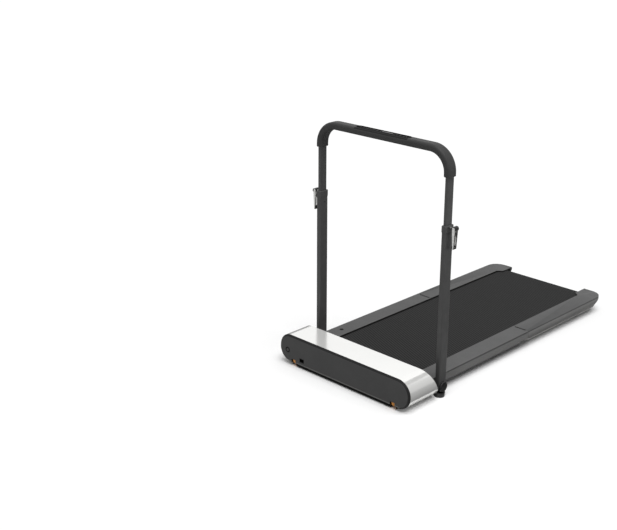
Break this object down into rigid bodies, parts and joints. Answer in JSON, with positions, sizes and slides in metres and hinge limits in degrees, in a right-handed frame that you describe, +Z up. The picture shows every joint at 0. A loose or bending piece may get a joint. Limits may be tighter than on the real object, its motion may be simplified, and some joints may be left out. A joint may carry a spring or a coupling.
{
  "type": "folding walking pad",
  "caption": "Folding walking pad: belt deck that folds in half, silver motor housing with transport wheels, and a fold-down handrail that adjusts in height.",
  "frame": {"origin": "on the floor, under the middle of the part's bounding box", "axes": "+X to the right for someone looking at the front panel, +Y from the front panel to the rear roller, +Z up"},
  "size_m": [0.748, 1.48, 1.0204],
  "materials": {
    "belt_rubber": "ribbed",
    "black_plastic": "matt",
    "black_rubber": "matt",
    "black_steel": "powder coated",
    "board_green": "solder mask",
    "board_wood": "sealed",
    "charcoal_panel": "fine matt",
    "charcoal_tube": "powder coated",
    "gloss_lens": "gloss",
    "grey_rail": "fine matt",
    "grip_foam": "soft matt",
    "motor_metal": "satin",
    "orange_wheel": "satin",
    "silver_plastic": "satin",
    "silver_shell": "satin anodised",
    "steel": "brushed"
  },
  "bodies": {
    "base": {"housing_shell": "silver_shell", "front_panel": "charcoal_panel", "housing_rear_cover": "charcoal_panel", "base_pan": "black_plastic", "front_tray": "black_plastic", "front_side_members": "black_steel", "front_cross_members": "black_steel", "front_deck_board": "board_wood", "front_rail_left": "grey_rail", "front_rail_right": "grey_rail", "motor": "motor_metal", "motor_mount": "black_steel", "control_board": "board_green", "power_inlet": "black_plastic", "drive_belt": "black_rubber", "front_bearing_blocks": "black_steel", "hinge_leaves_front": "steel", "hinge_pins": "steel", "handrail_base_left": "black_steel", "handrail_base_right": "black_steel", "base_foot_pads": "black_rubber", "wheel_brackets": "black_steel", "wheel_axles": "steel", "front_feet": "black_rubber", "rail_screws": "steel", "belt_front": "belt_rubber"},
    "front_roller": {"front_roller": "steel", "drive_pulley": "steel"},
    "motor_rotor": {"motor_rotor": "motor_metal"},
    "wheel_left": {"wheel_left": "orange_wheel"},
    "wheel_right": {"wheel_right": "orange_wheel"},
    "power_button": {"power_button": "black_plastic"},
    "rear_deck": {"rear_side_members": "black_steel", "rear_cross_members": "black_steel", "rear_deck_board": "board_wood", "rear_rail_left": "grey_rail", "rear_rail_right": "grey_rail", "rear_tray": "silver_plastic", "rear_feet": "black_rubber", "hinge_leaves_rear": "steel", "rear_axle": "steel", "axle_blocks": "black_steel", "tension_bolts": "steel", "belt_rear": "belt_rubber"},
    "rear_roller": {"rear_roller": "steel"},
    "handrail_lower": {"outer_tube_left": "charcoal_tube", "outer_tube_right": "charcoal_tube", "pivot_plugs": "charcoal_tube", "collars": "charcoal_tube", "clamp_bolts": "steel"},
    "clamp_lever_left": {"clamp_lever_left": "steel"},
    "clamp_lever_right": {"clamp_lever_right": "steel"},
    "lock_knob_left": {"lock_knob_left": "black_plastic"},
    "lock_knob_right": {"lock_knob_right": "black_plastic"},
    "handrail_upper": {"inner_tubes": "charcoal_tube", "tube_glides": "black_plastic", "grip_bar": "grip_foam", "bar_insert": "black_plastic", "bar_lens": "gloss_lens"}
  },
  "joints": [
    {"name": "deck_fold", "type": "hinge", "parent": "base", "child": "rear_deck", "pos_m": [0, 0.12, 0.0778], "axis": [1, 0, 0], "range_deg": [0, 179.8]},
    {"name": "handrail_fold", "type": "hinge", "parent": "base", "child": "handrail_lower", "pos_m": [0, -0.513, 0.043], "axis": [-1, 0, 0], "range_deg": [0, 85]},
    {"name": "handrail_extend", "type": "slide", "parent": "handrail_lower", "child": "handrail_upper", "axis": [0, 0, 1], "range_m": [-0.17, 0.35]},
    {"name": "clamp_lever_right_swing", "type": "hinge", "parent": "handrail_lower", "child": "clamp_lever_right", "pos_m": [0.367, -0.513, 0.709], "axis": [0, -1, 0], "range_deg": [0, 120]},
    {"name": "clamp_lever_left_swing", "type": "hinge", "parent": "handrail_lower", "child": "clamp_lever_left", "pos_m": [-0.367, -0.513, 0.709], "axis": [0, 1, 0], "range_deg": [0, 120]},
    {"name": "lock_knob_right_turn", "type": "hinge", "parent": "base", "child": "lock_knob_right", "pos_m": [0.35, -0.513, 0.043], "axis": [1, 0, 0], "range_deg": [0, 360]},
    {"name": "lock_knob_left_turn", "type": "hinge", "parent": "base", "child": "lock_knob_left", "pos_m": [-0.35, -0.513, 0.043], "axis": [-1, 0, 0], "range_deg": [0, 360]},
    {"name": "front_roller_spin", "type": "hinge", "parent": "base", "child": "front_roller", "pos_m": [0, -0.616, 0.044], "axis": [-1, 0, 0], "continuous": true},
    {"name": "rear_roller_spin", "type": "hinge", "parent": "rear_deck", "child": "rear_roller", "pos_m": [0, 0.69, 0.044], "axis": [-1, 0, 0], "continuous": true},
    {"name": "motor_spin", "type": "hinge", "parent": "base", "child": "motor_rotor", "pos_m": [-0.2, -0.685, 0.086], "axis": [-1, 0, 0], "continuous": true},
    {"name": "wheel_right_roll", "type": "hinge", "parent": "base", "child": "wheel_right", "pos_m": [0.275, -0.7085, 0.028], "axis": [1, 0, 0], "continuous": true},
    {"name": "wheel_left_roll", "type": "hinge", "parent": "base", "child": "wheel_left", "pos_m": [-0.275, -0.7085, 0.028], "axis": [1, 0, 0], "continuous": true},
    {"name": "power_button_press", "type": "slide", "parent": "base", "child": "power_button", "axis": [0, 1, 0], "range_m": [0, 0.0025], "stiffness_N_per_m": 600}
  ],
  "couplings": [
    {"joint": "rear_roller_spin", "follows": "front_roller_spin", "ratio": 1},
    {"joint": "motor_spin", "follows": "front_roller_spin", "ratio": 2}
  ]
}
